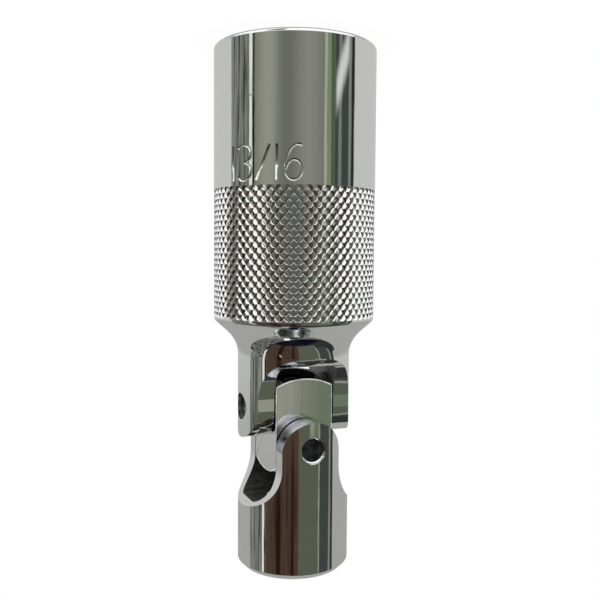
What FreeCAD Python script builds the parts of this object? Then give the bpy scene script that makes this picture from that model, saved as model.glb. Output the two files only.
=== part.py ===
import FreeCAD, Part
import math
import os

# A flexible spark plug socket: a deep, knurled hexagon socket with a forked neck, a square block
# and a forked drive end, hinged together by two crossed pins that lie at different heights.
# Millimetres. The socket stands on its open mouth: z = 0 is the mouth, +Z is the common axis and
# points at the square drive. The socket's pin lies along X and the drive's pin along Y.

Vec = FreeCAD.Vector
Z_AXIS = Vec(0, 0, 1)

# Driving dimensions of the socket
hex_across_flats = 20.8
hex_depth = 19.0
mouth_lead_in = 1.1
socket_radius = 13.6
mouth_edge = 0.7
shoulder_start = 45.3
shoulder_mid_radius = 11.5
shoulder_mid_height = 47.3
shoulder_end_radius = 9.95
shoulder_end_height = 49.4
neck_radius = 9.5
neck_blend = 1.6

# Diamond knurl round the socket: the crests of two crossed sets of grooves
knurl_start = 23.65
knurl_starts = 58
knurl_rows = 24
knurl_crest_radius = 13.55
knurl_root_radius = 13.08
knurl_clearance = 1.0

# Bore behind the hexagon, where the rubber insert sits
bore_radius = 10.6
bore_end = 42.0
groove_radius = 11.3
groove_height = 2.2
groove_middle = 36.5
drill_half_angle = 59.0
pilot_radius = 4.6

# Rubber insert
insert_start = 21.0
insert_end = 41.0
insert_fit_gap = 0.1
insert_bore_radius = 6.0
insert_funnel_radius = 8.6
insert_funnel_depth = 3.0
insert_rib_gap = 0.15

# Universal joint
socket_pin_height = 59.75
drive_pin_height = 66.1
pin_radius = 2.2
pin_edge = 0.25
socket_pin_length = 18.3
socket_pin_shift = -0.4
drive_pin_length = 17.8
block_hole_gap = 0.06

# Both forks: flat-sided ears with round ends, and arc reliefs that let the other fork swing in
ear_half_width = 5.0
socket_ear_reach = 5.15
drive_ear_reach = 4.6
ear_end_radius = 5.0
relief_radius = 8.0
socket_relief_offset = 1.5
drive_relief_offset = 3.0
socket_slot_half_width = 5.3
socket_slot_depth = 7.15
socket_slot_corner = 1.5
drive_slot_half_width = 5.35
drive_slot_depth = 9.4
drive_slot_corner = 3.2

# Centre block
block_half_width = 5.0
block_reach = 5.95
block_crown_radius = 12.0
block_edge = 0.3

# Drive end
drive_radius = 9.45
drive_end_height = 87.4
drive_end_chamfer = 1.05
square_across_flats = 9.65
square_depth = 11.4
square_lead_in = 0.6
detent_radius = 1.9
detent_depth = 0.55
detent_from_end = 5.2

# Rounding that polishing leaves on the forks' outer edges
edge_round = 0.3
edge_search = 0.45


def revolve_about_z(outline):
    """A solid of revolution from edges or corner points in the XZ plane."""
    wire = outline if isinstance(outline, Part.Wire) else Part.makePolygon(outline + [outline[0]])
    return Part.Face(wire).revolve(Vec(0, 0, 0), Z_AXIS, 360)


def line(a, b):
    return Part.LineSegment(a, b).toShape()


def arc(a, middle, b):
    return Part.Arc(a, middle, b).toShape()


def hexagon_prism(across_flats, start, end):
    """A hexagon prism with corners on the X axis."""
    corner = across_flats / 2 / math.cos(math.radians(30))
    points = []
    for side in range(6):
        angle = math.radians(60 * side)
        points.append(Vec(corner * math.cos(angle), corner * math.sin(angle), start))
    face = Part.Face(Part.makePolygon(points + [points[0]]))
    return face.extrude(Vec(0, 0, end - start))


def neck_blend_points():
    """The shoulder's last slope runs into the neck on a small arc."""
    slope = Vec(neck_radius - shoulder_end_radius, 0, neck_blend)
    start = Vec(shoulder_end_radius, 0, shoulder_end_height)
    end = Vec(neck_radius, 0, shoulder_end_height + neck_blend)
    middle = start + slope * 0.5 + Vec(-0.12, 0, -0.04)
    return start, middle, end


def socket_outside():
    """The turned outside of the socket, up to the level of the ears' ends."""
    top = socket_pin_height + socket_ear_reach
    blend_start, blend_middle, blend_end = neck_blend_points()
    corner = Vec(socket_radius, 0, shoulder_start)
    bend = mouth_edge * (1 - math.sqrt(0.5))
    edges = [
        line(Vec(0, 0, 0), Vec(socket_radius - mouth_edge, 0, 0)),
        arc(Vec(socket_radius - mouth_edge, 0, 0), Vec(socket_radius - bend, 0, bend),
            Vec(socket_radius, 0, mouth_edge)),
        line(Vec(socket_radius, 0, mouth_edge), corner),
        arc(corner, Vec(shoulder_mid_radius, 0, shoulder_mid_height), blend_start),
        arc(blend_start, blend_middle, blend_end),
        line(blend_end, Vec(neck_radius, 0, top)),
        line(Vec(neck_radius, 0, top), Vec(0, 0, top)),
        line(Vec(0, 0, top), Vec(0, 0, 0)),
    ]
    return revolve_about_z(Part.Wire(edges))


def socket_cavity():
    """Hexagon mouth, round bore with a retaining groove, drill point and pilot hole."""
    hexagon = hexagon_prism(hex_across_flats, -1.0, hex_depth)
    corner = hex_across_flats / 2 / math.cos(math.radians(30))
    lead_in = Part.makeCone(corner + 0.2, corner + 0.2 - 2 * mouth_lead_in, 2 * mouth_lead_in)
    cone_height = (bore_radius - pilot_radius) / math.tan(math.radians(drill_half_angle))
    pilot_end = socket_pin_height
    half_groove = groove_height / 2
    bore = revolve_about_z([
        Vec(0, 0, hex_depth - 0.5),
        Vec(bore_radius - 0.5, 0, hex_depth - 0.5),
        Vec(bore_radius, 0, hex_depth),
        Vec(bore_radius, 0, groove_middle - half_groove),
        Vec(groove_radius, 0, groove_middle - half_groove),
        Vec(groove_radius, 0, groove_middle + half_groove),
        Vec(bore_radius, 0, groove_middle + half_groove),
        Vec(bore_radius, 0, bore_end),
        Vec(pilot_radius, 0, bore_end + cone_height),
        Vec(pilot_radius, 0, pilot_end),
        Vec(0, 0, pilot_end),
    ])
    return hexagon.fuse([lead_in, bore])


def fork_outline(ear_reach, relief_offset, trunk_length):
    """The fork seen along its pin: round-ended ears that open into a wide trunk by arc reliefs.
    Pin at the origin, ears towards +Z, outline in the YZ plane, extruded along X."""
    wide = 2 * neck_radius
    relief_centre_y = ear_half_width + relief_radius
    end_centre_z = ear_reach - ear_end_radius
    side_bottom = -relief_offset
    relief_reach = 11.0
    drop = math.sqrt(relief_radius ** 2 - (relief_centre_y - relief_reach) ** 2)
    half_y = (ear_half_width + relief_reach) / 2
    half_drop = math.sqrt(relief_radius ** 2 - (relief_centre_y - half_y) ** 2)
    end_side_z = end_centre_z
    edges = []
    for side in (1, -1):
        shoulder = Vec(0, side * ear_half_width, side_bottom)
        flare = Vec(0, side * relief_reach, side_bottom - drop)
        edges.append(line(Vec(0, side * ear_half_width, end_side_z), shoulder))
        edges.append(arc(shoulder, Vec(0, side * half_y, side_bottom - half_drop), flare))
        edges.append(line(flare, Vec(0, side * wide, side_bottom - drop)))
        edges.append(line(Vec(0, side * wide, side_bottom - drop), Vec(0, side * wide, -trunk_length)))
    edges.append(arc(Vec(0, ear_half_width, end_side_z), Vec(0, 0, ear_reach),
                     Vec(0, -ear_half_width, end_side_z)))
    edges.append(line(Vec(0, wide, -trunk_length), Vec(0, -wide, -trunk_length)))
    wire = Part.Wire(Part.__sortEdges__(edges))
    return Part.Face(wire).extrude(Vec(4 * neck_radius, 0, 0)).translated(Vec(-2 * neck_radius, 0, 0))


def fork_slot(half_width, depth, corner):
    """The slot between the ears, with rounded root corners, open along Y and towards +Z."""
    bend = corner * (1 - math.sqrt(0.5))
    top = 2 * ear_end_radius
    left, right = -half_width, half_width
    edges = [
        line(Vec(left, 0, top), Vec(left, 0, -depth + corner)),
        arc(Vec(left, 0, -depth + corner), Vec(left + bend, 0, -depth + bend),
            Vec(left + corner, 0, -depth)),
        line(Vec(left + corner, 0, -depth), Vec(right - corner, 0, -depth)),
        arc(Vec(right - corner, 0, -depth), Vec(right - bend, 0, -depth + bend),
            Vec(right, 0, -depth + corner)),
        line(Vec(right, 0, -depth + corner), Vec(right, 0, top)),
        line(Vec(right, 0, top), Vec(left, 0, top)),
    ]
    return Part.Face(Part.Wire(edges)).extrude(Vec(0, 4 * neck_radius, 0)).translated(
        Vec(0, -2 * neck_radius, 0))


def round_outline_edges(body, radius):
    """Rounds the edges that the fork's outline leaves on the turned surface of this radius."""
    picked = []
    for edge in body.Edges:
        span = edge.LastParameter - edge.FirstParameter
        points = [edge.valueAt(edge.FirstParameter + span * share) for share in (0.1, 0.5, 0.9)]
        on_surface = all(-0.01 < math.hypot(p.x, p.y) - radius < edge_search for p in points)
        level = abs(points[0].z - points[2].z) < 0.001 and abs(points[0].z - points[1].z) < 0.001
        seam = all(abs(p.y) < 0.001 for p in points)
        if on_surface and not level and not seam:
            picked.append(edge)
    return body.makeFillet(edge_round, picked)


def cut_fork(body, radius, outline, slot):
    """Works a turned body into a fork about a pin at the origin, ears towards +Z, pin along X."""
    pin_hole = Part.makeCylinder(pin_radius, 4 * neck_radius, Vec(-2 * neck_radius, 0, 0), Vec(1, 0, 0))
    body = round_outline_edges(body.common(outline).Solids[0], radius)
    return body.cut(slot).cut(pin_hole)


def knurl_point(column, row):
    """A corner of the knurl's net, where crests and roots alternate like a chessboard."""
    radius = knurl_crest_radius if (column + row) % 2 == 0 else knurl_root_radius
    angle = math.pi * column / knurl_starts
    row_height = (shoulder_start - knurl_start) / knurl_rows
    return Vec(radius * math.cos(angle), radius * math.sin(angle), knurl_start + row_height * row)


def knurl_end_face(row, radius):
    """A flat ring from the net's edge at this row out to a circle."""
    corners = [knurl_point(column, row) for column in range(2 * knurl_starts)]
    edge = Part.makePolygon(corners + [corners[0]])
    circle = Part.Wire(Part.makeCircle(radius, Vec(0, 0, corners[0].z), Z_AXIS))
    face = Part.Face([circle, edge])
    face.validate()
    return face


def knurl_cutter():
    """The ring that the knurling takes away: pointed diamonds inside, a plain wall outside."""
    faces = []
    for row in range(knurl_rows):
        for column in range(2 * knurl_starts):
            near = knurl_point(column, row)
            side = knurl_point(column + 1, row)
            up = knurl_point(column, row + 1)
            far = knurl_point(column + 1, row + 1)
            crest_is_near = (column + row) % 2 == 0
            halves = [(near, side, up), (side, far, up)] if crest_is_near else [
                (near, side, far), (near, far, up)]
            for a, b, c in halves:
                faces.append(Part.Face(Part.makePolygon([a, b, c, a])))
    wall_radius = socket_radius + knurl_clearance
    wall = Part.makeLine(Vec(wall_radius, 0, knurl_start), Vec(wall_radius, 0, shoulder_start))
    faces.append(wall.revolve(Vec(0, 0, 0), Z_AXIS, 360).Faces[0])
    faces.append(knurl_end_face(0, wall_radius))
    faces.append(knurl_end_face(knurl_rows, wall_radius))
    shell = Part.makeShell(faces)
    shell.sewShape()
    return Part.Solid(shell)


def socket_shell():
    body = socket_outside().translated(Vec(0, 0, -socket_pin_height))
    outline = fork_outline(socket_ear_reach, socket_relief_offset, socket_pin_height + 1.0)
    slot = fork_slot(socket_slot_half_width, socket_slot_depth, socket_slot_corner)
    body = cut_fork(body, neck_radius, outline, slot)
    body = body.translated(Vec(0, 0, socket_pin_height))
    return body.cut(socket_cavity()).cut(knurl_cutter())


def rubber_insert():
    """A sleeve with a funnel mouth that grips the plug's insulator, held by a rib in the groove."""
    outer = bore_radius - insert_fit_gap
    rib = groove_radius - insert_rib_gap
    half_rib = groove_height / 2 - insert_rib_gap
    return revolve_about_z([
        Vec(insert_funnel_radius, 0, insert_start),
        Vec(outer - 0.5, 0, insert_start),
        Vec(outer, 0, insert_start + 0.5),
        Vec(outer, 0, groove_middle - half_rib),
        Vec(rib, 0, groove_middle - half_rib + 0.4),
        Vec(rib, 0, groove_middle + half_rib - 0.4),
        Vec(outer, 0, groove_middle + half_rib),
        Vec(outer, 0, insert_end),
        Vec(insert_bore_radius, 0, insert_end),
        Vec(insert_bore_radius, 0, insert_start + insert_funnel_depth),
    ])


def pin(direction, centre, length):
    """A plain pin with chamfered ends."""
    half = length / 2
    body = revolve_about_z([
        Vec(0, 0, -half),
        Vec(pin_radius - pin_edge, 0, -half),
        Vec(pin_radius, 0, -half + pin_edge),
        Vec(pin_radius, 0, half - pin_edge),
        Vec(pin_radius - pin_edge, 0, half),
        Vec(0, 0, half),
    ])
    turn = FreeCAD.Rotation(Z_AXIS, direction)
    body.Placement = FreeCAD.Placement(centre, turn)
    return body


def centre_block():
    """A square bar with crowned ends and two crossed pin holes at different heights."""
    bottom = socket_pin_height - block_reach
    top = drive_pin_height + block_reach
    width = 2 * block_half_width
    body = Part.makeBox(width, width, top - bottom, Vec(-block_half_width, -block_half_width, bottom))
    upright = []
    for edge in body.Edges:
        a, b = edge.Vertexes[0].Point, edge.Vertexes[1].Point
        if abs(a.z - b.z) > 1:
            upright.append(edge)
    body = body.makeChamfer(block_edge, upright)
    low_crown = Part.makeSphere(block_crown_radius, Vec(0, 0, bottom + block_crown_radius))
    high_crown = Part.makeSphere(block_crown_radius, Vec(0, 0, top - block_crown_radius))
    body = body.common(low_crown).common(high_crown)
    radius = pin_radius + block_hole_gap
    along_x = Part.makeCylinder(radius, 3 * width, Vec(-1.5 * width, 0, socket_pin_height), Vec(1, 0, 0))
    along_y = Part.makeCylinder(radius, 3 * width, Vec(0, -1.5 * width, drive_pin_height), Vec(0, 1, 0))
    return body.cut(along_x).cut(along_y)


def square_drive():
    """The square hole with its lead-in, a ball detent in each wall and the pilot hole behind it."""
    half = square_across_flats / 2
    start = drive_end_height - square_depth
    square = Part.makeBox(2 * half, 2 * half, square_depth + 1, Vec(-half, -half, start))
    corner = half * math.sqrt(2)
    lead_in = Part.makeCone(corner - 1.5, corner - 1.5 + square_lead_in, square_lead_in,
                            Vec(0, 0, drive_end_height - square_lead_in))
    pilot = Part.makeCylinder(pilot_radius, drive_end_height - drive_pin_height,
                              Vec(0, 0, drive_pin_height))
    tools = [lead_in, pilot]
    for turn in range(4):
        angle = math.radians(90 * turn)
        reach = half + detent_depth - detent_radius
        centre = Vec(reach * math.cos(angle), reach * math.sin(angle), drive_end_height - detent_from_end)
        tools.append(Part.makeSphere(detent_radius, centre))
    return square.fuse(tools)


def drive_yoke():
    """The forked drive end: the same fork turned upside down and a quarter turn round."""
    length = drive_end_height - drive_pin_height
    body = revolve_about_z([
        Vec(0, 0, drive_ear_reach),
        Vec(drive_radius, 0, drive_ear_reach),
        Vec(drive_radius, 0, -length + drive_end_chamfer),
        Vec(drive_radius - drive_end_chamfer, 0, -length),
        Vec(0, 0, -length),
    ])
    outline = fork_outline(drive_ear_reach, drive_relief_offset, length + 1.0)
    slot = fork_slot(drive_slot_half_width, drive_slot_depth, drive_slot_corner)
    body = cut_fork(body, drive_radius, outline, slot)
    flip = FreeCAD.Rotation(Vec(1, 0, 0), 180)
    quarter = FreeCAD.Rotation(Z_AXIS, 90)
    body.Placement = FreeCAD.Placement(Vec(0, 0, drive_pin_height), quarter.multiply(flip))
    return body.cut(square_drive())


def main():
    os.makedirs("parts", exist_ok=True)
    nodes = {
        "socket_shell": socket_shell(),
        "rubber_insert": rubber_insert(),
        "socket_pin": pin(Vec(1, 0, 0), Vec(socket_pin_shift, 0, socket_pin_height),
                          socket_pin_length),
        "center_block": centre_block(),
        "drive_pin": pin(Vec(0, 1, 0), Vec(0, 0, drive_pin_height), drive_pin_length),
        "drive_yoke": drive_yoke(),
    }
    for name, shape in nodes.items():
        shape.exportStep(f"parts/{name}.step")
        box = shape.BoundBox
        print(name, "solids", len(shape.Solids), "valid", shape.isValid(), "volume",
              round(shape.Volume, 1), "z", round(box.ZMin, 2), round(box.ZMax, 2))


main()
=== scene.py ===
import bpy, math
import numpy as np
from mathutils import Matrix, Vector


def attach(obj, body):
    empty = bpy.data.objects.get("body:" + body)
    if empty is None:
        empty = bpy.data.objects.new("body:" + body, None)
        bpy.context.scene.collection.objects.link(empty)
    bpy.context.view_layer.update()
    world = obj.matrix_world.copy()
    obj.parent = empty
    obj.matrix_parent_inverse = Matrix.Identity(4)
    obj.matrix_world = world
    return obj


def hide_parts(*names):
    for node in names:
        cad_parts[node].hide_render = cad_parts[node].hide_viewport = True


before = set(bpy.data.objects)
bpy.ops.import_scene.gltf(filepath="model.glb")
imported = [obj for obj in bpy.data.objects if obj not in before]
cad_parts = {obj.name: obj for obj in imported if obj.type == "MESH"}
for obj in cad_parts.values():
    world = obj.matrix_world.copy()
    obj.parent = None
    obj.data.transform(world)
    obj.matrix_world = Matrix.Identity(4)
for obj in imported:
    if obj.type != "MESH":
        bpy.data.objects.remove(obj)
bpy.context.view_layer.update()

mm = 0.001  # sizes below are in millimetres
print("frame loaded:", sorted(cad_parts))


# Camera
camera = {
    "azimuth": 22.0,       # degrees round from -Y towards +X
    "distance": 133.07,    # from the tool's axis
    "height": 34.2,
    "aimHeight": 42.11,
    "sideStep": 1.06,      # the tool stands a little left of the picture's middle
    "lean": -0.38,         # degrees that the tool leans in the picture
    "lens": 46.8,
    "sensor": 36.0,
    "clip": (0.01, 20),    # metres
}
towardsCamera = Vector((math.sin(math.radians(camera["azimuth"])), -math.cos(math.radians(camera["azimuth"])), 0))
pictureRight = Vector((towardsCamera.y, -towardsCamera.x, 0))


def addCamera():
    place = towardsCamera * camera["distance"] + Vector((0, 0, camera["height"]))
    look = (Vector((0, 0, camera["aimHeight"])) - place).normalized()
    up = -(Vector((0, 0, 1)) - look * look.z).normalized()  # the socket's mouth is at the top
    right = look.cross(up)
    place = place + right * camera["sideStep"]
    lean = Matrix.Rotation(math.radians(camera["lean"]), 3, look)
    right, up = lean @ right, lean @ up
    data = bpy.data.cameras.new("camera")
    data.lens = camera["lens"]
    data.sensor_width = camera["sensor"]
    data.clip_start, data.clip_end = camera["clip"]
    shot = bpy.data.objects.new("camera", data)
    bpy.context.scene.collection.objects.link(shot)
    turned = Matrix((right, up, -look)).transposed().to_4x4()
    shot.matrix_world = Matrix.Translation(place * mm) @ turned
    bpy.context.scene.camera = shot


addCamera()
bpy.context.scene.view_settings.view_transform = "Standard"


# Nodes are added in a row and wired by name
class NodeTree:
    def __init__(self, tree):
        self.nodes, self.links = tree.nodes, tree.links
        self.nodes.clear()

    def add(self, kind, **values):
        node = self.nodes.new(kind)
        for name, value in values.items():
            setattr(node, name, value)
        return node

    def feed(self, socket, value):
        if hasattr(value, "is_output"):
            self.links.new(value, socket)
        elif value is not None:
            socket.default_value = value

    def math(self, operation, a, b=None):
        node = self.add("ShaderNodeMath", operation=operation)
        self.feed(node.inputs[0], a)
        self.feed(node.inputs[1], b)
        return node.outputs[0]

    def times(self, first, *others):
        for other in others:
            first = self.math("MULTIPLY", first, other)
        return first

    def dot(self, a, b):
        node = self.add("ShaderNodeVectorMath", operation="DOT_PRODUCT")
        self.feed(node.inputs[0], a)
        self.feed(node.inputs[1], b)
        return node.outputs["Value"]

    def smooth(self, value, low, high, toLow=0.0, toHigh=1.0):
        node = self.add("ShaderNodeMapRange", interpolation_type="SMOOTHSTEP")
        for socket, entry in zip(node.inputs, (value, low, high, toLow, toHigh)):
            self.feed(socket, entry)
        return node.outputs[0]

    def between(self, value, low, high, soft):
        off = self.math("ABSOLUTE", self.math("SUBTRACT", value, (low + high) / 2))
        half = (high - low) / 2
        return self.smooth(off, half - soft / 2, half + soft / 2, 1.0, 0.0)

    def mix(self, factor, a, b):
        node = self.add("ShaderNodeMix", data_type="RGBA")
        self.feed(node.inputs[0], factor)
        self.feed(node.inputs[6], a)
        self.feed(node.inputs[7], b)
        return node.outputs[2]

    def noise(self, vector, scale, detail):
        node = self.add("ShaderNodeTexNoise")
        self.feed(node.inputs["Vector"], vector)
        self.feed(node.inputs["Scale"], scale)
        self.feed(node.inputs["Detail"], detail)
        return node.outputs[0]

    def bump(self, height, strength, distance):
        node = self.add("ShaderNodeBump")
        self.feed(node.inputs["Height"], height)
        self.feed(node.inputs["Strength"], strength)
        self.feed(node.inputs["Distance"], distance)
        return node.outputs[0]


def shown(red, green, blue):
    # a colour as the screen shows it, 0 to 255, turned into light
    return tuple((v / 255) ** 2.2 for v in (red, green, blue)) + (1,)


# Light: the tool stands before a pale sheet, and the room in front of it shows in the metal.
# Turn is in degrees from the camera, to the right in the picture; rise is up in the picture.
# A span is a measure from, to, and what it gives at each of these two ends.
sheet = {
    "faces": -3.5,                     # turn
    "edge": 94.5,                      # it fills everything further round than this
    "softness": 0.012,                 # of its edge, as a cosine
    "spill": (26, 32, 0.0, -0.12),     # span by rise, up or down: how much further round it reaches, as a cosine
    "low": (164, 165, 161),
    "middle": (196, 197, 193),
    "high": (168, 170, 170),
    "toMiddle": (-18, -3),             # rise where each colour turns into the next
    "toHigh": (26, 36),
}
waver = {                              # the plating isn't perfectly even, so what it shows wavers a little
    "across": 0.16,
    "up": 0.07,
    "scale": 2.0,
    "detail": 3.0,
    "most": 4.4,                       # degrees
    "sides": (60, 68, 0.0, 0.35),      # span by turn, left or right
    "low": (-17, -13, 1.0, 0.0),       # span by rise
    "front": (40, 50, 1.0, 0.0),       # span by turn, left or right
}
gleam = {                              # slanted, high on the right
    "turn": 69.5,
    "rise": 13.2,
    "half": 13.0,
    "core": 0.1,                       # share of the half width that is at full strength
    "slant": 6.0,                      # turn gained for each degree of rise
    "ends": (8, 13, 0.8, 0.0),         # span by turn from its middle
    "colour": (226, 229, 225),
}
lowLamp = {"turn": -100, "rise": -84, "size": 4.0, "core": 0.6, "colour": (255, 255, 255)}
topLight = {
    "up": (36, 44),                    # rise
    "near": (64, 74),                  # span by turn, left or right
    "far": (108, 120, 1.0, 0.0),
    "colour": (268, 268, 268),
}
room = {
    "wall": (116, 119, 110),
    "panels": [
        # name, turn from, turn to, rise from, rise to, softness across, softness up, colour
        ("beigeWall", -50, -24, -7, 40, 24, 3, (146, 148, 136)),
        ("greyWall", -20, 0, -7, 40, 20, 3, (106, 110, 103)),
        ("paleWall", 6, 34, -7, 40, 24, 8, (133, 134, 127)),
        ("lowWall", -60, 60, -8, 4.2, 8, 2, (92, 95, 90)),
        ("woodFloor", -56, 13, -62, -6.0, 3, 3, (77, 62, 54)),
        ("oliveMat", 13, 56, -62, -7, 1.5, 2, (88, 94, 80)),
        ("paleCorner", 36, 45, -13.5, -6, 5, 2, (146, 148, 136)),
        ("mossCorner", 45, 57, -13.5, -6, 4, 2, (106, 119, 99)),
        ("floorSeam", -34, -24, -64, -7, 4, 4, (42, 30, 22)),
        ("floorStreak", -3, 3, -64, -14, 4, 6, (46, 32, 26)),
        ("deepFloor", -110, 110, -100, -62, 12, 8, (18, 22, 34)),
        ("sideFloorLeft", -125, -56, -66, -26, 6, 8, (54, 50, 48)),
        ("sideFloorRight", 59, 125, -66, -26, 6, 8, (52, 54, 53)),
        ("frameLeft", -100, -66, -24, 40, 1.5, 6, (98, 101, 95)),
        ("frameLeftDark", -88, -72, -22, 40, 3, 8, (74, 78, 72)),
        ("lineLeft", -65, -60.5, -40, 60, 1.2, 8, (228, 230, 221)),
        ("blackLineLeft", -59.5, -56.8, -40, 60, 1.0, 8, (34, 36, 28)),
        ("lineRight", 41.5, 45.5, -7, 40, 1.6, 3, (162, 168, 150)),
        ("greenFrame", 46, 51.5, -7, 40, 2, 3, (118, 136, 104)),
        ("darkGreen", 51.5, 56.5, -7, 40, 1.5, 3, (78, 93, 72)),
        ("shadeRight", 57, 80, -50, 40, 1.5, 6, (64, 71, 69)),
        ("lineRightLow", 54.5, 57.5, -50, -8, 1.0, 3, (140, 146, 138)),
        ("stripRight", 63, 68, -8, 40, 1.5, 3, (116, 122, 116)),
        ("lineFarRight", 80, 83.6, -40, 40, 1.0, 6, (126, 132, 122)),
        ("blackLineRight", 85, 90.5, -40, 60, 1.2, 6, (44, 50, 44)),
        ("ceiling", -105, 105, 23, 100, 16, 8, (268, 268, 268)),
        ("ceilingGap", -46, -16, 34, 72, 6, 6, (112, 114, 110)),
    ],
    "mottleLow": (16, 20, 0.6, 0.0),   # span by rise
    "patches": [
        # name, span by grain, span by turn, colour
        ("mottle", (0.40, 0.60), (-70, -66, 1.0, 0.0), (158, 161, 154)),
        ("pits", (0.36, 0.47, 0.7, 0.0), (-72, -68, 1.0, 0.0), (46, 49, 44)),
        ("stains", (0.5, 0.6), (6, 12, 0.6, 0.0), (38, 28, 22)),
    ],
    "fill": 0.95,                      # what lights the matt parts
}


def directionOf(turn, rise):
    turn, rise = math.radians(turn), math.radians(rise)
    flat = towardsCamera * math.cos(turn) + pictureRight * math.sin(turn)
    return tuple(flat * math.cos(rise) + Vector((0, 0, -math.sin(rise))))


def addWorld():
    world = bpy.data.worlds.new("room")
    bpy.context.scene.world = world
    world.use_nodes = True
    tree = NodeTree(world.node_tree)
    heading = tree.add("ShaderNodeTexCoord").outputs["Generated"]
    ahead = tree.dot(heading, tuple(towardsCamera))
    across = tree.dot(heading, tuple(pictureRight))
    upward = tree.dot(heading, (0, 0, -1))
    turn = tree.times(tree.math("ARCTAN2", across, ahead), 180 / math.pi)
    rise = tree.times(tree.math("ARCSINE", upward), 180 / math.pi)
    # the waver
    spread = tree.add("ShaderNodeCombineXYZ")
    tree.feed(spread.inputs[0], tree.times(turn, waver["across"]))
    tree.feed(spread.inputs[1], tree.times(rise, waver["up"]))
    grain = tree.noise(spread.outputs[0], waver["scale"], waver["detail"])
    aside = tree.math("ABSOLUTE", turn)
    lowFront = tree.times(tree.smooth(rise, *waver["low"]), tree.smooth(aside, *waver["front"]))
    strength = tree.math("ADD", tree.smooth(aside, *waver["sides"]), lowFront)
    turn = tree.math("ADD", turn, tree.times(tree.math("SUBTRACT", grain, 0.5), strength, waver["most"]))
    aside = tree.math("ABSOLUTE", turn)
    # the room
    colour = shown(*room["wall"])
    for _, left, right, low, high, soft, softUp, paint in room["panels"]:
        inPanel = tree.times(tree.between(turn, left, right, soft), tree.between(rise, low, high, softUp))
        colour = tree.mix(inPanel, colour, shown(*paint))
    for name, byGrain, byTurn, paint in room["patches"]:
        inPatch = tree.times(tree.smooth(grain, *byGrain), tree.smooth(turn, *byTurn))
        if name == "mottle":
            inPatch = tree.times(inPatch, tree.smooth(rise, *room["mottleLow"]))
        if name == "stains":
            inPatch = tree.times(inPatch, lowFront)
        colour = tree.mix(inPatch, colour, shown(*paint))
    offTurn = tree.math("SUBTRACT", turn, gleam["turn"])
    slanted = tree.math("SUBTRACT", offTurn, tree.times(tree.math("SUBTRACT", rise, gleam["rise"]), gleam["slant"]))
    inGleam = tree.times(
        tree.smooth(tree.math("ABSOLUTE", slanted), gleam["half"] * gleam["core"], gleam["half"], 1.0, 0.0),
        tree.smooth(tree.math("ABSOLUTE", offTurn), *gleam["ends"]))
    colour = tree.mix(inGleam, colour, shown(*gleam["colour"]))
    rim, core = (math.cos(math.radians(lowLamp["size"] * share)) for share in (1, lowLamp["core"]))
    inLamp = tree.smooth(tree.dot(heading, directionOf(lowLamp["turn"], lowLamp["rise"])), rim, core)
    colour = tree.mix(inLamp, colour, shown(*lowLamp["colour"]))
    # the sheet behind the tool, from its own edge round
    paper = tree.mix(tree.smooth(rise, *sheet["toMiddle"]), shown(*sheet["low"]), shown(*sheet["middle"]))
    paper = tree.mix(tree.smooth(rise, *sheet["toHigh"]), paper, shown(*sheet["high"]))
    edge = tree.math("ADD", math.cos(math.radians(sheet["edge"])),
                     tree.smooth(tree.math("ABSOLUTE", rise), *sheet["spill"]))
    past = tree.math("SUBTRACT", tree.dot(heading, directionOf(sheet["faces"], 0)), edge)
    onSheet = tree.smooth(past, -sheet["softness"], sheet["softness"], 1.0, 0.0)
    colour = tree.mix(onSheet, colour, paper)
    inTop = tree.times(tree.smooth(rise, *topLight["up"]), tree.smooth(aside, *topLight["near"]),
                       tree.smooth(aside, *topLight["far"]))
    colour = tree.mix(inTop, colour, shown(*topLight["colour"]))
    # metal sees the room, matt parts a plain fill and the camera white
    path = tree.add("ShaderNodeLightPath")
    colour = tree.mix(path.outputs["Is Glossy Ray"], (room["fill"],) * 3 + (1,), colour)
    colour = tree.mix(path.outputs["Is Camera Ray"], colour, (1, 1, 1, 1))
    back = tree.add("ShaderNodeBackground")
    tree.feed(back.inputs["Color"], colour)
    out = tree.add("ShaderNodeOutputWorld")
    tree.links.new(back.outputs[0], out.inputs[0])


addWorld()

# Floor: a pale sheet that takes only a faint shadow and doesn't show in the metal
ground = {"size": 6, "drop": 0.00002, "matt": 0.12, "glow": 0.905}  # size and drop in metres


def addFloor():
    bpy.ops.object.select_all(action="DESELECT")
    bpy.ops.mesh.primitive_plane_add(size=ground["size"], location=(0, 0, -ground["drop"]))
    floor = bpy.context.object
    floor.name = "floor"
    paint = bpy.data.materials.new("paleFloor")
    paint.use_nodes = True
    tree = NodeTree(paint.node_tree)
    matt = tree.add("ShaderNodeBsdfDiffuse")
    tree.feed(matt.inputs["Color"], (ground["matt"],) * 3 + (1,))
    glow = tree.add("ShaderNodeEmission")
    tree.feed(glow.inputs["Color"], (1, 1, 1, 1))
    tree.feed(glow.inputs["Strength"], ground["glow"])
    both = tree.add("ShaderNodeAddShader")
    out = tree.add("ShaderNodeOutputMaterial")
    tree.links.new(matt.outputs[0], both.inputs[0])
    tree.links.new(glow.outputs[0], both.inputs[1])
    tree.links.new(both.outputs[0], out.inputs[0])
    floor.data.materials.append(paint)
    floor.visible_glossy = False


addFloor()
print("light and floor made")


# Finishes
def makeMaterial(name, metallic):
    material = bpy.data.materials.new(name)
    material.use_nodes = True
    tree = NodeTree(material.node_tree)
    shader = tree.add("ShaderNodeBsdfPrincipled")
    tree.feed(shader.inputs["Metallic"], metallic)
    out = tree.add("ShaderNodeOutputMaterial")
    tree.links.new(shader.outputs[0], out.inputs[0])
    return material, tree, shader, tree.add("ShaderNodeTexCoord").outputs["Object"]


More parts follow.
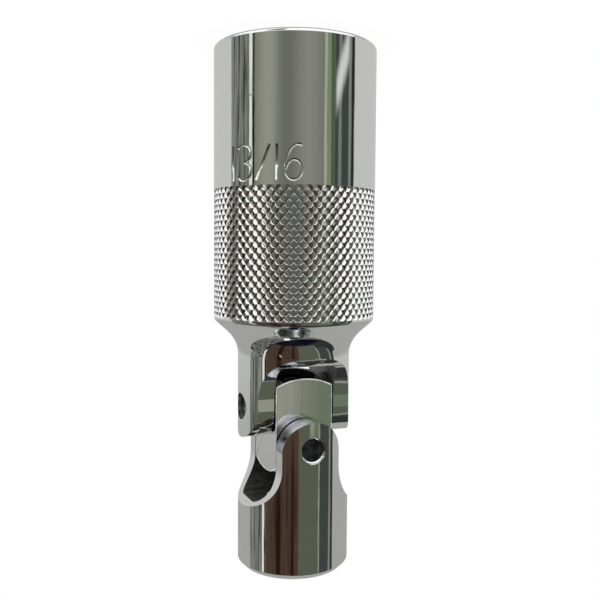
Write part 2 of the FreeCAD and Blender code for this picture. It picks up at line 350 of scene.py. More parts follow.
# polishing marks on the chrome: faint long scratches along the tool, scuffs, and small specks where it is scuffed
chrome = {
    "plain": (0.9, 0.9, 0.892, 1),
    "speckColour": (0.42, 0.42, 0.41, 1),
    "specks": 650,
    "speckSize": (0.05, 0.12, 1.0, 0.0),      # span by distance
    "speckPlaces": (0.56, 0.66),              # span by scuff
    "speckRough": 0.3,
    "scratches": 900,
    "scratchDetail": 4,
    "scratchStretch": (1, 1, 0.08),
    "scratchSpan": (0.35, 0.65),
    "scuffs": 160,
    "scuffDetail": 6,
    "scuffRough": (0.45, 0.75, 0.03, 0.10),   # span by scuff
    "scuffDepth": 1.5,
    "bump": (0.05, 0.00004),                  # strength, distance in metres
}


def makeChrome():
    material, tree, shader, where = makeMaterial("chromePlate", 1.0)
    stretch = tree.add("ShaderNodeMapping")
    tree.feed(stretch.inputs["Scale"], chrome["scratchStretch"])
    tree.feed(stretch.inputs["Vector"], where)
    scratch = tree.noise(stretch.outputs[0], chrome["scratches"], chrome["scratchDetail"])
    speck = tree.add("ShaderNodeTexVoronoi")
    tree.feed(speck.inputs["Scale"], chrome["specks"])
    tree.feed(speck.inputs["Vector"], where)
    scuff = tree.noise(where, chrome["scuffs"], chrome["scuffDetail"])
    inSpeck = tree.times(tree.smooth(speck.outputs["Distance"], *chrome["speckSize"]),
                         tree.smooth(scuff, *chrome["speckPlaces"]))
    roughness = tree.math("ADD", tree.smooth(scuff, *chrome["scuffRough"]), tree.times(inSpeck, chrome["speckRough"]))
    height = tree.math("ADD", tree.smooth(scratch, *chrome["scratchSpan"]), tree.times(scuff, chrome["scuffDepth"]))
    tree.feed(shader.inputs["Base Color"], tree.mix(inSpeck, chrome["plain"], chrome["speckColour"]))
    tree.feed(shader.inputs["Roughness"], roughness)
    tree.feed(shader.inputs["Normal"], tree.bump(height, *chrome["bump"]))
    return material


def makeGrainy(name, metallic, scale, detail, dark, pale, rough, span=None, bump=None):
    # colour and roughness follow one grain; span is the part of it that turns dark into pale
    roughSpan = (0.3, 0.7)
    material, tree, shader, where = makeMaterial(name, metallic)
    grain = tree.noise(where, scale, detail)
    share = tree.smooth(grain, *span) if span else grain
    tree.feed(shader.inputs["Base Color"], tree.mix(share, dark + (1,), pale + (1,)))
    tree.feed(shader.inputs["Roughness"], tree.smooth(grain, *roughSpan, *rough))
    if bump:
        tree.feed(shader.inputs["Normal"], tree.bump(grain, *bump))
    return material


chromePlate = makeChrome()
paintedShadeSteel = makeGrainy(      # matt steel in the slots and drillings, coloured near black as painted shade
    "paintedShadeSteel", metallic=0.3, scale=1400, detail=5, span=(0.35, 0.7), rough=(0.5, 0.7), bump=(0.2, 0.00006),
    dark=(0.018, 0.02, 0.016), pale=(0.045, 0.048, 0.04))
paintedShadePlate = makeGrainy(      # plating in the upper slot, coloured darker as painted shade
    "paintedShadePlate", metallic=0.35, scale=500, detail=4, span=(0.35, 0.7), rough=(0.25, 0.38),
    dark=(0.15, 0.155, 0.14), pale=(0.24, 0.245, 0.23))
scuffedShadePlate = makeGrainy(     # scuffed plating on the drive end's ear tips, its darker bluish colour painted shade
    "scuffedShadePlate", metallic=1.0, scale=380, detail=5, span=(0.4, 0.65), rough=(0.14, 0.3),
    dark=(0.36, 0.38, 0.42), pale=(0.72, 0.74, 0.78))
paintedEdgeHighlight = makeGrainy(       # near-white painted highlight on the block's edges
    "paintedEdgeHighlight", metallic=0.1, scale=420, detail=2, span=(0.4, 0.62), rough=(0.35, 0.55),
    dark=(0.55, 0.56, 0.54), pale=(0.93, 0.94, 0.92))
pinSteel = makeGrainy(
    "pinSteel", metallic=0.7, scale=900, detail=6, span=(0.35, 0.7), rough=(0.28, 0.48), bump=(0.35, 0.0001),
    dark=(0.012, 0.013, 0.014), pale=(0.05, 0.052, 0.055))
blackRubber = makeGrainy(
    "blackRubber", metallic=0.0, scale=700, detail=4, rough=(0.5, 0.72), bump=(0.15, 0.0001),
    dark=(0.012, 0.012, 0.012), pale=(0.034, 0.034, 0.035))
print("finishes made")


# Hand work: lines are drawn point by point, then spun, pushed out, cut and rounded
weld = 0.0000004    # metres; corners nearer than this are one
beyond = 20         # half length of what cuts right through
nearly = 0.02       # slack when faces are picked by their place


def deselectAll():
    if bpy.context.object and bpy.context.object.mode == "EDIT":
        bpy.ops.object.mode_set(mode="OBJECT")
    bpy.ops.object.select_all(action="DESELECT")


def pick(piece):
    deselectAll()
    piece.select_set(True)
    bpy.context.view_layer.objects.active = piece


def editMode(piece):
    pick(piece)
    bpy.ops.object.mode_set(mode="EDIT")
    bpy.ops.mesh.select_all(action="SELECT")


def drawLine(name, points):
    deselectAll()
    bpy.ops.mesh.primitive_plane_add(size=0.001, location=(0, 0, 0))
    piece = bpy.context.object
    piece.name = piece.data.name = name
    bpy.ops.object.mode_set(mode="EDIT")
    bpy.ops.mesh.merge(type="CENTER")
    bpy.ops.transform.translate(value=Vector(points[0]) * mm)
    for start, end in zip(points, points[1:]):
        step = (Vector(end) - Vector(start)) * mm
        bpy.ops.mesh.extrude_region_move(TRANSFORM_OT_translate={"value": step})
    bpy.ops.object.mode_set(mode="OBJECT")
    return piece


def tidyMesh(piece):
    editMode(piece)
    bpy.ops.mesh.remove_doubles(threshold=weld)
    bpy.ops.mesh.normals_make_consistent(inside=False)
    bpy.ops.object.mode_set(mode="OBJECT")


def spinLine(piece, steps):
    editMode(piece)
    bpy.ops.mesh.spin(steps=steps, angle=2 * math.pi, center=(0, 0, 0), axis=(0, 0, 1))
    bpy.ops.object.mode_set(mode="OBJECT")
    tidyMesh(piece)


def turnOutline(name, outline, steps):
    # a closed outline is drawn and spun into a solid
    piece = drawLine(name, outline + [outline[0]])
    tidyMesh(piece)
    spinLine(piece, steps)
    return piece


def pushOut(name, points, along):
    # a closed outline is filled and pushed out both ways along a direction
    piece = drawLine(name, [tuple(Vector(p) - Vector(along)) for p in points + points[:1]])
    editMode(piece)
    bpy.ops.mesh.remove_doubles(threshold=weld)
    bpy.ops.mesh.select_all(action="SELECT")
    bpy.ops.mesh.edge_face_add()
    bpy.ops.mesh.extrude_region_move(TRANSFORM_OT_translate={"value": Vector(along) * 2 * mm})
    bpy.ops.object.mode_set(mode="OBJECT")
    tidyMesh(piece)
    return piece


def applyModifier(piece, kind, **values):
    pick(piece)
    modifier = piece.modifiers.new(kind.lower(), kind)
    for name, value in values.items():
        setattr(modifier, name, value)
    bpy.ops.object.modifier_apply(modifier=modifier.name)


def carve(piece, tool, operation="DIFFERENCE", crossed=False):
    applyModifier(piece, "BOOLEAN", object=tool, operation=operation, solver="EXACT", use_self=crossed)
    bpy.data.objects.remove(tool)


def drill(piece, radius, depth, level, rotation=(0, 0, 0), sides=96):
    bpy.ops.mesh.primitive_cylinder_add(vertices=sides, radius=radius * mm, depth=depth * mm,
                                        location=(0, 0, level * mm), rotation=rotation)
    carve(piece, bpy.context.object)


def countersink(piece, lowRadius, highRadius, depth, level):
    bpy.ops.mesh.primitive_cone_add(vertices=192, radius1=lowRadius * mm, radius2=highRadius * mm,
                                    depth=depth * mm, location=(0, 0, level * mm))
    carve(piece, bpy.context.object)


def roundEdges(piece, width, angle):
    applyModifier(piece, "BEVEL", width=width * mm, segments=3, limit_method="ANGLE",
                  angle_limit=math.radians(angle), use_clamp_overlap=True, miter_outer="MITER_SHARP")


def bend(points, roundings, steps=6):
    # a line of corner points gets an arc of the given radius at each corner
    line = []
    for index, (corner, radius) in enumerate(zip(points, roundings)):
        corner = Vector(corner)
        if not radius:
            line.append(tuple(corner))
            continue
        before = (Vector(points[index - 1]) - corner).normalized()
        after = (Vector(points[(index + 1) % len(points)]) - corner).normalized()
        half = before.angle(after) / 2
        total = math.pi - 2 * half
        middle = corner + (before + after).normalized() * radius / math.sin(half)
        first = corner + before * radius / math.tan(half) - middle
        last = corner + after * radius / math.tan(half) - middle
        for step in range(steps + 1):
            share = step / steps
            spot = (first * math.sin((1 - share) * total) + last * math.sin(share * total)) / math.sin(total)
            line.append(tuple(middle + spot))
    return line


def readMesh(values, key, width=0, kind=float):
    # one row per entry of a mesh list
    flat = np.zeros(len(values) * max(width, 1), dtype=kind)
    values.foreach_get(key, flat)
    return flat.reshape(-1, width) if width else flat


def trueNormals(piece, surfaces, tolerance=0.008, agreement=0.5):
    # corners that lie on a known surface shade exactly as that surface does
    mesh = piece.data
    place = readMesh(mesh.vertices, "co", 3)[readMesh(mesh.loops, "vertex_index", kind=np.int32)] / mm
    totals = readMesh(mesh.polygons, "loop_total", kind=np.int32)
    facing = np.repeat(readMesh(mesh.polygons, "normal", 3), totals, axis=0)
    best = np.full(len(place), agreement)
    normals = np.zeros((len(place), 3))
    for surface in surfaces:
        off, normal = surface(place)
        agree = (facing * normal).sum(axis=1)
        fits = (np.abs(off) < tolerance) & (np.abs(agree) > best)
        normals[fits] = normal[fits] * np.sign(agree)[fits][:, None]
        best[fits] = np.abs(agree)[fits]
    mesh.shade_smooth()
    mesh.normals_split_custom_set(normals.tolist())


def roundSurface(axis, centre, radius):
    # a cylinder along axis 0, 1 or 2 through the centre, or without an axis a ball
    def surface(place):
        away = place - np.array(centre)
        if axis is not None:
            away[:, axis] = 0
        reach = np.linalg.norm(away, axis=1)
        return reach - radius, away / np.maximum(reach, 1e-9)[:, None]
    return surface


def flatSurface(axis, offset):
    def surface(place):
        return place[:, axis] - offset, np.tile(np.eye(3)[axis], (len(place), 1))
    return surface


def flatPair(axis, half):
    return [flatSurface(axis, half), flatSurface(axis, -half)]


def dress(piece, body, slot, material, *nodes):
    piece.data.materials.clear()
    piece.data.materials.append(material)
    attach(piece, body)
    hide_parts(*nodes)


def refinish(piece, material, inside):
    # faces whose middle lies inside get the other finish
    piece.data.materials.append(material)
    for face in piece.data.polygons:
        if inside(*(v / mm for v in face.center)):
            face.material_index = len(piece.data.materials) - 1


# Socket barrel: the plain turned wall with its rounded rim, hexagon and stamped size
barrel = {
    "radius": 13.6,
    "rimRounding": 0.7,
    "end": 23.65,            # where the knurl starts
    "step": 0.9,             # from the wall down to the sleeve that runs under the knurl
    "boreEnd": 44.0,
    "bore": 10.6,
    "blankBore": 9.0,        # before the hexagon is cut
    "hexagon": 20.8,         # across flats
    "hexagonDepth": 19.0,
    "leadIn": 1.1,
    "leadInGrowth": 0.2,     # past the hexagon's corners
    "steps": 192,
}
sizeMark = {
    "bottom": 22.95,         # height of the characters' feet; they stand towards the mouth
    "high": 5.45,
    "wide": 2.85,
    "groove": 0.26,          # radius of the stamp's edge
    "standOff": 0.09,        # of the groove's middle from the wall
    "turns": {"1": -44.5, "3": -34.5, "/": -20.6, "1b": -11.1, "6": 0.0},  # degrees from the camera
}
strokes = {  # x from 0 to 1 across, y from 0 to 1 up
    "1": [(0.5, 0.0), (0.5, 1.0)],
    "3": [(0.04, 0.9), (0.2, 0.98), (0.5, 1.0), (0.8, 0.95), (0.95, 0.8), (0.9, 0.62), (0.7, 0.53),
          (0.45, 0.51), (0.75, 0.47), (0.95, 0.36), (0.97, 0.2), (0.82, 0.06), (0.5, 0.0), (0.2, 0.02), (0.03, 0.12)],
    "/": [(0.1, 0.0), (0.9, 1.0)],
    "6": [(0.95, 0.95), (0.78, 1.0), (0.5, 0.96), (0.24, 0.8), (0.07, 0.55), (0.02, 0.3), (0.12, 0.1), (0.34, 0.0),
          (0.62, 0.0), (0.86, 0.09), (0.98, 0.29), (0.88, 0.47), (0.64, 0.57), (0.36, 0.55), (0.14, 0.44),
          (0.04, 0.28)],
}


def stampTool(points, turn):
    # a round-nosed stroke laid on the wall, to be cut out of it
    data = bpy.data.curves.new("stroke", "CURVE")
    data.dimensions = "3D"
    data.bevel_depth = sizeMark["groove"] * mm
    data.bevel_resolution = 2
    data.use_fill_caps = True
    data.resolution_u = 3
    line = data.splines.new("NURBS" if len(points) > 2 else "POLY")
    line.points.add(len(points) - 1)
    for spot, (x, y) in zip(line.points, points):
        spot.co = ((x - 0.5) * sizeMark["wide"] * mm, (sizeMark["bottom"] - y * sizeMark["high"]) * mm, 0, 1)
    if len(points) > 2:
        line.order_u = 3
        line.use_endpoint_u = True
    tool = bpy.data.objects.new("stroke", data)
    bpy.context.scene.collection.objects.link(tool)
    pick(tool)
    bpy.ops.object.convert(target="MESH")
    tool = bpy.context.object
    # x runs round the wall, y up it and z outwards
    wall = barrel["radius"] + sizeMark["standOff"]
    for vertex in tool.data.vertices:
        around = math.radians(turn) + vertex.co.x / (wall * mm)
        reach = wall * mm + vertex.co.z
        spot = (towardsCamera * math.cos(around) + pictureRight * math.sin(around)) * reach
        vertex.co = (spot.x, spot.y, vertex.co.y)
    tidyMesh(tool)
    return tool


def makeBarrel():
    size = barrel
    r, end, depth = size["radius"], size["end"], size["hexagonDepth"]
    corner = size["hexagon"] / 2 / math.cos(math.pi / 6)
    outline = bend(
        [(r, 0, 0), (r, 0, end), (r - size["step"], 0, end), (r - size["step"], 0, size["boreEnd"]),
         (size["bore"], 0, size["boreEnd"]), (size["bore"], 0, depth), (size["blankBore"], 0, depth),
         (size["blankBore"], 0, 0)],
        [size["rimRounding"], 0, 0, 0, 0, 0, 0, 0], 8)
    piece = turnOutline("socketBarrel", outline, size["steps"])
    print("barrel spun")
    # the hexagon, then the lead-in at its mouth
    drill(piece, corner, depth + 1, (depth - 1) / 2, (0, 0, math.pi / 6), sides=6)
    mouth = corner + size["leadInGrowth"]
    countersink(piece, mouth, mouth - 2 * size["leadIn"], 2 * size["leadIn"], size["leadIn"])
    for key, turn in sizeMark["turns"].items():
        carve(piece, stampTool(strokes[key[0]], turn), crossed=True)
    print("size stamped")
    trueNormals(piece, [roundSurface(2, (0, 0, 0), r), roundSurface(2, (0, 0, 0), size["bore"])])
    dress(piece, "socket", "chrome", chromePlate, "socket_shell")


makeBarrel()

# Knurled band: one diamond is modelled, then repeated round the socket
knurl = {
    "start": 23.65,
    "end": 44.75,
    "starts": 58,
    "rows": 24,              # half diamonds up the band
    "crest": 13.55,
    # rings of the diamond from its foot to its top: share of the outline and depth
    "rings": [(1.0, 0.24), (0.50, 0.05), (0.44, 0.014), (0.38, 0.0)],
    "leans": (0, 23.0, 46.0, 46.0),  # degrees that the wall seems to lean, from the top ring to the foot
    "weld": 0.000002,        # metres; feet of neighbours nearer than this are one
}


def makeKnurl():
    size = knurl
    halfWide = math.pi * size["crest"] / size["starts"]
    halfHigh = (size["end"] - size["start"]) / size["rows"]
    foot = size["rings"][0][1] * mm
    deselectAll()
    bpy.ops.mesh.primitive_circle_add(vertices=4, radius=mm, fill_type="NGON", location=(0, 0, 0))
    piece = bpy.context.object
    piece.name = piece.data.name = "knurledBand"
    editMode(piece)
    bpy.ops.transform.resize(value=(halfWide, halfHigh, 1))
    bpy.ops.transform.translate(value=(0, 0, -foot))
    for (share, depth), (nextShare, nextDepth) in zip(size["rings"], size["rings"][1:]):
        bpy.ops.mesh.extrude_region_move(TRANSFORM_OT_translate={"value": (0, 0, (depth - nextDepth) * mm)})
        bpy.ops.transform.resize(value=(nextShare / share, nextShare / share, 1), center_override=(0, 0, 0))
    # the foot's own face isn't needed
    bpy.ops.mesh.select_all(action="DESELECT")
    bpy.ops.object.mode_set(mode="OBJECT")
    for face in piece.data.polygons:
        face.select = all(abs(piece.data.vertices[v].co.z + foot) < 1e-7 for v in face.vertices)
    bpy.ops.object.mode_set(mode="EDIT")
    bpy.ops.mesh.delete(type="FACE")
    bpy.ops.mesh.select_all(action="SELECT")
    bpy.ops.mesh.duplicate_move(TRANSFORM_OT_translate={"value": (halfWide * mm, halfHigh * mm, 0)})
    bpy.ops.object.mode_set(mode="OBJECT")
    across, up = (2 * halfWide * mm, 0, 0), (0, 2 * halfHigh * mm, 0)
    for count, step in ((size["starts"], across), (size["rows"] // 2 + 1, up)):
        applyModifier(piece, "ARRAY", count=count, use_relative_offset=False, use_constant_offset=True,
                      constant_offset_displace=step)
    editMode(piece)
    bpy.ops.mesh.remove_doubles(threshold=size["weld"])
    length = 2 * halfHigh * (size["rows"] / 2) * mm
    for level, side in ((0, {"clear_inner": True}), (length, {"clear_outer": True})):
        bpy.ops.mesh.select_all(action="SELECT")
        bpy.ops.mesh.bisect(plane_co=(0, level, 0), plane_no=(0, 1, 0), **side)
    bpy.ops.object.mode_set(mode="OBJECT")
    # each face remembers which way it leans before the sheet is wrapped
    mesh = piece.data
    lean = readMesh(mesh.polygons, "normal", 3)
    if lean[:, 2].mean() < 0:
        mesh.flip_normals()
        lean = -lean
    flat = readMesh(mesh.vertices, "co", 3)
    around = flat[:, 0] / (size["crest"] * mm)
    reach = size["crest"] * mm + flat[:, 2]
    wrapped = np.stack([reach * np.cos(around), reach * np.sin(around), size["start"] * mm + flat[:, 1]], axis=1)
    vertexOf = readMesh(mesh.loops, "vertex_index", kind=np.int32)
    lean = np.repeat(lean, readMesh(mesh.polygons, "loop_total", kind=np.int32), axis=0)
    sideways = lean[:, :2] / np.maximum(np.linalg.norm(lean[:, :2], axis=1), 1e-9)[:, None]
    depths = [depth for _, depth in size["rings"]][::-1]
    tilt = np.radians(np.interp(-flat[vertexOf][:, 2] / mm, depths, size["leans"]))
    angle = around[vertexOf]
    level = np.zeros(len(angle))
    outward = np.stack([np.cos(angle), np.sin(angle), level], axis=1)
    tangent = np.stack([-np.sin(angle), np.cos(angle), level], axis=1)
    side = tangent * sideways[:, :1] + np.array([0, 0, 1.0]) * sideways[:, 1:]
    normals = outward * np.cos(tilt)[:, None] + side * np.sin(tilt)[:, None]
    mesh.vertices.foreach_set("co", wrapped.ravel())
    mesh.shade_smooth()
    mesh.update()
    mesh.normals_split_custom_set(normals.tolist())
    print("knurl wrapped:", len(mesh.polygons), "faces")
    dress(piece, "socket", "chrome", chromePlate, "socket_shell")


makeKnurl()

# Socket fork: the shoulder and neck behind the knurl, and the two ears of the upper hinge
socketFork = {
    "band": 44.75,           # a narrow plain band is left between the knurl and the shoulder
    "bandRadius": 13.52,
    "blankBore": 12.6,       # under the band, and the level to which it runs
    "blankLevel": 45.2,
    "pilotStart": 47.0,
    "shoulder": 45.3,
    "shoulderDrop": 0.35,    # from there to the middle of its edge's rounding
    "corner": 0.85,          # rounding at the shoulder's edge
    "cornerTurn": 47,        # degrees that this rounding turns
    "cornerSteps": 8,
    "slope": [(11.75, 47.05), (9.6, 48.2), (9.5, 51.2)],  # pull points of the shoulder's curve
    "slopeSteps": 28,
    "neck": 9.5,
    "pin": 59.75,
    "earHalf": 5.0,
    "earReach": 5.15,
    "earEnd": 5.0,           # radius of the ears' round ends
    "relief": 8.0,
    "reliefDrop": 1.5,
    "trunk": 30,             # how far back the outline that cuts the ears runs
    "slotHalf": 5.3,
    "slotDepth": 7.15,
    "slotCorner": 1.5,
    "pilot": 4.6,
    "pinHole": 2.2,
    "edge": 0.16,
    "edgeAngle": 38,         # degrees; flatter edges aren't rounded
    "spare": 0.5,            # the blank runs on past the ears by this much
    "slotShadeRadius": 8.7,       # reach of the painted shade in the slot
    "shadeFlare": (9.3, 47.2),  # radius and level of the painted shade behind the pilot
    "steps": 192,
}


def curveLine(pulls, count):
    line = []
    for step in range(count + 1):
        t = step / count
        shares = ((1 - t) ** 3, 3 * t * (1 - t) ** 2, 3 * t * t * (1 - t), t ** 3)
        line.append((sum(s * p[0] for s, p in zip(shares, pulls)), 0, sum(s * p[1] for s, p in zip(shares, pulls))))
    return line


def earOutline(size, steps=40):
    # the fork seen along its pin, as (sideways, towards the ears), pin at the origin
    half, relief = size["earHalf"], size["relief"]
    centre = half + relief
    wide = 11.0  # the relief's arc runs out to here
    line = []
    first, last = math.pi, math.pi + math.acos((centre - wide) / relief)
    for step in range(steps + 1):
        angle = first + (last - first) * step / steps
        line.append((centre + relief * math.cos(angle), -size["reliefDrop"] + relief * math.sin(angle)))
    line += [(beyond, line[-1][1]), (beyond, -size["trunk"])]
    end = size["earReach"] - size["earEnd"]
    crown = []
    for step in range(steps + 1):
        angle = math.pi * step / steps
        crown.append((half * math.cos(angle), end + size["earEnd"] * math.sin(angle)))
    return line[::-1] + crown + [(-y, z) for y, z in line]


def through(axis):
    along = [0, 0, 0]
    along[axis] = beyond
    return along


def makeFork(body, size, turned):
    # body is the turned blank; turned makes the drive end's fork: upside down and a quarter turn round
    half, depth, corner = size["slotHalf"], size["slotDepth"], size["slotCorner"]
    across, pinAxis = (0, 1) if turned else (1, 0)  # axis of the ears' width and of the pin

    def place(x, y, z):
        return (y, x, size["pin"] - z) if turned else (x, y, size["pin"] + z)

    def at(axis, sideways, z):
        spot = [0, 0, place(0, 0, z)[2]]
        spot[axis] = sideways
        return spot

    carve(body, pushOut("outline", [place(0, y, z) for y, z in earOutline(size)], through(pinAxis)), "INTERSECT")
    above = 12  # the slot's cutter runs on past the ears
    slotPath = bend([(-half, 0, above), (-half, 0, -depth), (half, 0, -depth), (half, 0, above)],
                    [0, corner, corner, 0], 10)
    carve(body, pushOut("slot", [place(x, 0, z) for x, _, z in slotPath], through(across)))
    quarter = math.pi / 2
    drill(body, size["pinHole"], 3 * beyond, size["pin"], (quarter, 0, 0) if turned else (0, quarter, 0))
    roundEdges(body, size["edge"], size["edgeAngle"])
    centre = size["earHalf"] + size["relief"]
    return [
        roundSurface(2, (0, 0, 0), size["neck"]),
        roundSurface(pinAxis, at(across, centre, -size["reliefDrop"]), size["relief"]),
        roundSurface(pinAxis, at(across, -centre, -size["reliefDrop"]), size["relief"]),
        roundSurface(pinAxis, at(across, 0, size["earReach"] - size["earEnd"]), size["earEnd"]),
        *flatPair(across, size["earHalf"]),
        *flatPair(pinAxis, half),
        roundSurface(across, at(pinAxis, half - corner, corner - depth), corner),
        roundSurface(across, at(pinAxis, corner - half, corner - depth), corner),
        flatSurface(2, place(0, 0, -depth)[2]),
        roundSurface(pinAxis, (0, 0, size["pin"]), size["pinHole"]),
        roundSurface(2, (0, 0, 0), size["pilot"]),
    ]


def makeSocketFork():
    size = socketFork
    top = size["pin"] + size["earReach"] + size["spare"]
    lines = [(size["blankBore"], 0, size["band"]), (size["bandRadius"], 0, size["band"])]
    middle = size["bandRadius"] - size["corner"], size["shoulder"] - size["shoulderDrop"]
    for step in range(size["cornerSteps"] + 1):
        angle = math.radians(size["cornerTurn"] * step / size["cornerSteps"])
        lines.append((middle[0] + size["corner"] * math.cos(angle), 0, middle[1] + size["corner"] * math.sin(angle)))
    lines += curveLine([(lines[-1][0], lines[-1][2])] + size["slope"], size["slopeSteps"])[1:]
    lines += [(size["neck"], 0, top), (size["pilot"], 0, top), (size["pilot"], 0, size["pilotStart"]),
              (size["blankBore"], 0, size["blankLevel"])]
    body = turnOutline("socketFork", lines, size["steps"])
    trueNormals(body, makeFork(body, size, False))
    print("socket fork made:", len(body.data.polygons), "faces")
    dress(body, "socket", "chrome", chromePlate, "socket_shell")
    root = size["pin"] - size["slotDepth"]
    flareRadius, flareLevel = size["shadeFlare"]
    # the slot's floor and walls are coloured darker as painted shade
    refinish(body, paintedShadePlate, lambda x, y, z: abs(x) < size["slotHalf"] + nearly
             and root - nearly < z < size["pin"] - 1 and math.hypot(x, y) < size["slotShadeRadius"])
    # the pilot and the hollow behind it are coloured near black as painted shade
    refinish(body, paintedShadeSteel, lambda x, y, z: math.hypot(x, y) < size["pilot"] + nearly
             or math.hypot(x, y) < flareRadius and z < flareLevel)


makeSocketFork()

# Drive end: the lower fork with the square hole for the ratchet
driveEnd = {
    "neck": 9.45,
    "pin": 66.1,
    "end": 87.4,
    "chamfer": 1.05,
    "chamferRoundings": (0.35, 0.3),
    "blankBore": 3.0,
    "earHalf": 5.0,
    "earReach": 4.6,
    "earEnd": 5.0,
    "relief": 8.0,
    "reliefDrop": 3.0,
    "trunk": 40,
    "slotHalf": 5.35,
    "slotDepth": 9.4,
    "slotCorner": 3.2,
    "pilot": 4.6,
    "pilotStop": 4,          # below the end; the pilot runs there from the pin
    "pinHole": 2.2,
    "edge": 0.16,
    "edgeAngle": 38,
    "spare": 0.5,
    "square": 9.65,
    "squareDepth": 11.4,
    "detent": (1.9, 0.55, 5.2),   # ball radius, depth in the wall, distance from the end
    "leadIn": (1.5, 0.9, 0.6),    # inside the square's corners at its foot and at the end, and its depth
    "shadeRadius": 7.9,       # reach of the painted shade in the slot
    "steps": 192,
}


def makeDriveEnd():
    size = driveEnd
    r, end, chamfer, inner = size["neck"], size["end"], size["chamfer"], size["blankBore"]
    start = size["pin"] - size["earReach"] - size["spare"]
    outline = bend([(r, 0, start), (r, 0, end - chamfer), (r - chamfer, 0, end), (inner, 0, end), (inner, 0, start)],
                   [0, *size["chamferRoundings"], 0, 0], 6)
    body = turnOutline("driveYoke", outline, size["steps"])
    half = size["square"] / 2
    squareStart = end - size["squareDepth"]
    bpy.ops.mesh.primitive_cube_add(size=1, location=(0, 0, (squareStart + beyond / 2) * mm))
    hole = bpy.context.object
    editMode(hole)
    bpy.ops.transform.resize(value=(2 * half * mm, 2 * half * mm, beyond * mm))
    bpy.ops.object.mode_set(mode="OBJECT")
    carve(body, hole)
    drill(body, size["pilot"], end - size["pin"] - size["pilotStop"], (end + size["pin"] - size["pilotStop"]) / 2)
    ball, deep, fromEnd = size["detent"]
    reach = half + deep - ball
    for quarter in range(4):
        angle = math.pi / 2 * quarter
        spot = Vector((reach * math.cos(angle), reach * math.sin(angle), end - fromEnd))
        bpy.ops.mesh.primitive_uv_sphere_add(segments=48, ring_count=32, radius=ball * mm, location=spot * mm)
        carve(body, bpy.context.object)
    corner = half * math.sqrt(2)
    footInset, endInset, deep = size["leadIn"]
    countersink(body, corner - footInset, corner - endInset, deep, end - deep / 2)
    surfaces = makeFork(body, size, True) + flatPair(0, half) + flatPair(1, half)
    trueNormals(body, surfaces + [flatSurface(2, end), flatSurface(2, squareStart)])
    print("drive end made:", len(body.data.polygons), "faces")
    dress(body, "drive", "chrome", chromePlate, "drive_yoke")
    root = size["pin"] + size["slotDepth"]
    holeFloor = squareStart + 0.1  # just past the square's floor
    # the slot and the pilot are coloured near black as painted shade
    refinish(body, paintedShadeSteel, lambda x, y, z: (abs(y) < size["slotHalf"] + nearly and z < root + nearly
                                               and math.hypot(x, y) < size["shadeRadius"])
             or (math.hypot(x, y) < size["pilot"] + nearly and z < holeFloor))
    crown = size["pin"] - size["earReach"] + size["earEnd"]  # middle of the ears' round ends
    offCrown = 0.05
    # the ear tips' darker, bluish colour is painted shade
    refinish(body, scuffedShadePlate, lambda x, y, z: z < crown and abs(y) > size["slotHalf"]
             and abs(math.hypot(x, z - crown) - size["earEnd"]) < offCrown)


makeDriveEnd()

# Block between the forks, with crowned ends
block = {
    "half": 5.0,
    "low": 53.8,
    "high": 72.05,
    "crown": 12.0,
    "edge": 0.22,
    "edgeAngle": 30,
    "rim": 0.2,              # width of the rim of its sides that takes the painted highlight
    "rimReach": 0.5,         # faces this near to an end or a corner can be rim
    "pinHole": 2.26,
}


def isSide(face):
    return max(abs(face.normal.x), abs(face.normal.y)) > 0.9999


def makeBlock():
    size = block
    half, low, high, crown = size["half"], size["low"], size["high"], size["crown"]
    deselectAll()
    bpy.ops.mesh.primitive_cube_add(size=1, location=(0, 0, (low + high) / 2 * mm))
    piece = bpy.context.object
    piece.name = piece.data.name = "hingeBlock"
    editMode(piece)
    bpy.ops.transform.resize(value=(2 * half * mm, 2 * half * mm, (high - low) * mm))
    bpy.ops.object.mode_set(mode="OBJECT")
    bpy.ops.object.transform_apply(location=True, rotation=False, scale=False)
    upper, lower = high - crown, low + crown  # centres of the two crowns
    for level in (upper, lower):
        bpy.ops.mesh.primitive_uv_sphere_add(segments=144, ring_count=120, radius=crown * mm,
                                             location=(0, 0, level * mm))
        carve(piece, bpy.context.object, "INTERSECT")
    drill(piece, size["pinHole"], 1.5 * beyond, socketFork["pin"], (0, math.pi / 2, 0))
    drill(piece, size["pinHole"], 1.5 * beyond, driveEnd["pin"], (math.pi / 2, 0, 0))
    roundEdges(piece, size["edge"], size["edgeAngle"])
    # a narrow rim is marked off round each flat side for the painted highlight
    editMode(piece)
    bpy.ops.mesh.select_mode(type="FACE")
    bpy.ops.mesh.select_all(action="DESELECT")
    bpy.ops.object.mode_set(mode="OBJECT")
    for face in piece.data.polygons:
        face.select = isSide(face)
    bpy.ops.object.mode_set(mode="EDIT")
    bpy.ops.mesh.inset(thickness=size["rim"] * mm, depth=0, use_boundary=True, use_even_offset=False)
    bpy.ops.object.mode_set(mode="OBJECT")
    bpy.context.tool_settings.mesh_select_mode = (True, False, False)
    highlightFaces = []
    for face in piece.data.polygons:
        x, y, z = (v / mm for v in face.center)
        fromEnd = min(crown - math.dist((x, y, z), (0, 0, level)) for level in (upper, lower))
        fromCorner = half - min(abs(x), abs(y))
        if isSide(face) and not face.select and min(fromEnd, fromCorner) < size["rimReach"]:
            highlightFaces.append(face.index)
    surfaces = [roundSurface(None, (0, 0, upper), crown), roundSurface(None, (0, 0, lower), crown)]
    surfaces += flatPair(0, half) + flatPair(1, half)
    surfaces.append(roundSurface(0, (0, 0, socketFork["pin"]), size["pinHole"]))
    surfaces.append(roundSurface(1, (0, 0, driveEnd["pin"]), size["pinHole"]))
    trueNormals(piece, surfaces, 0.012)
    print("block made:", len(piece.data.polygons), "faces")
    dress(piece, "block", "chrome", chromePlate, "center_block")
    # the rim faces take a near-white painted highlight
    piece.data.materials.append(paintedEdgeHighlight)
    for index in highlightFaces:
        piece.data.polygons[index].material_index = 1


makeBlock()

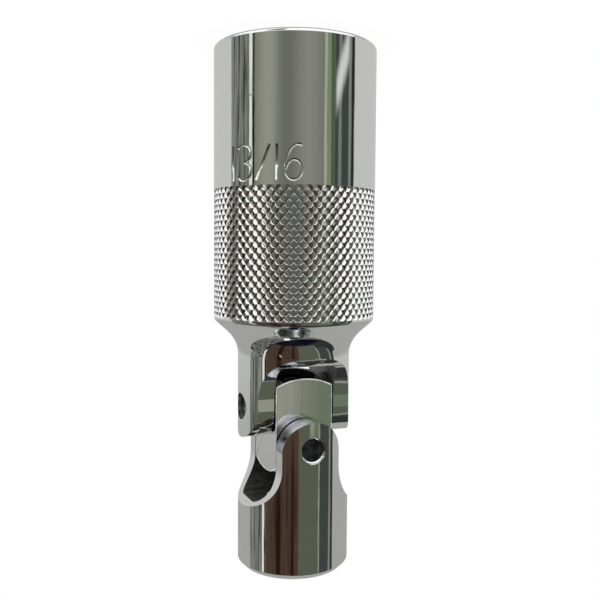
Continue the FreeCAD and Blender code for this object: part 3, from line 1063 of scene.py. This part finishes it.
# Hinge pins, pressed in, with dished ends
pins = {
    "radius": 2.2,
    "chamfer": 0.32,         # width of the bright ring round the end
    "dish": 0.2,
    "bevel": 0.1,
    "roundings": [0, 0.1, 0.05, 0.05, 0.05, 0.05, 0.1, 0],
    "smoothBelow": 32,       # degrees
    "socket": {"level": 59.75, "length": 18.3, "shift": -0.4, "along": 0},
    "drive": {"level": 66.1, "length": 17.8, "shift": 0.0, "along": 1},
}


def makePin(name, size, body, node):
    half, r, bevel, along = size["length"] / 2, pins["radius"], pins["bevel"], size["along"]
    lip, deep = r - pins["chamfer"], half - pins["dish"]
    outline = bend([(0, 0, -deep), (lip, 0, -deep), (r - bevel, 0, -half), (r, 0, -half + bevel),
                    (r, 0, half - bevel), (r - bevel, 0, half), (lip, 0, deep), (0, 0, deep)], pins["roundings"], 5)
    piece = drawLine(name, outline)
    spinLine(piece, 72)
    editMode(piece)
    shift = [0, 0, size["level"] * mm]
    shift[along] = size["shift"] * mm
    bpy.ops.transform.rotate(value=math.pi / 2, orient_axis="YX"[along], center_override=(0, 0, 0))
    bpy.ops.transform.translate(value=shift)
    bpy.ops.object.mode_set(mode="OBJECT")
    bpy.ops.object.shade_smooth_by_angle(angle=math.radians(pins["smoothBelow"]))
    dress(piece, body, "pin_steel", pinSteel, node)
    if node == "drive_pin":  # its end has a bright ring
        ringStart = lip + 0.03
        refinish(piece, chromePlate, lambda x, y, z: math.hypot((y, x)[along], z - size["level"]) > ringStart)


makePin("upperPin", pins["socket"], "socket", "socket_pin")
makePin("lowerPin", pins["drive"], "drive", "drive_pin")
print("pins made")

# Rubber insert: a funnel mouth, gripping ribs inside and a rib in the socket's groove
insert = {
    "start": 21.0,
    "end": 41.0,
    "outer": 10.5,
    "bore": 6.0,
    "funnel": 8.6,
    "holdingRib": (11.15, 35.5, 35.8, 37.2, 37.5),  # radius and levels of its foot, crest, crest and foot
    "ribs": 5,
    "ribDepth": 0.45,
    "plainEnds": 5.5,        # length of the bore without ribs
    "firstRib": 1.5,         # from the end
    "smoothBelow": 40,       # degrees
}


def makeInsert():
    size = insert
    start, end, outer, bore = size["start"], size["end"], size["outer"], size["bore"]
    crest, foot, rise, fall, lastFoot = size["holdingRib"]
    corners = [(size["funnel"], 0, start), (outer, 0, start), (outer, 0, foot), (crest, 0, rise), (crest, 0, fall),
               (outer, 0, lastFoot), (outer, 0, end), (bore, 0, end)]
    roundings = [0.4, 0.5, 0.2, 0.3, 0.3, 0.2, 0.5, 0.4]
    step = (end - start - size["plainEnds"]) / size["ribs"]
    groove = bore + size["ribDepth"]
    for rib in range(size["ribs"]):
        level = end - size["firstRib"] - step * rib
        corners += [(bore, 0, level), (groove, 0, level - step * 0.35), (groove, 0, level - step * 0.65)]
        roundings += [0.15, 0.15, 0.15]
    piece = turnOutline("rubberInsert", bend(corners, roundings, 4), 96)
    bpy.ops.object.shade_smooth_by_angle(angle=math.radians(size["smoothBelow"]))
    print("insert made")
    dress(piece, "socket", "rubber", blackRubber, "rubber_insert")


makeInsert()
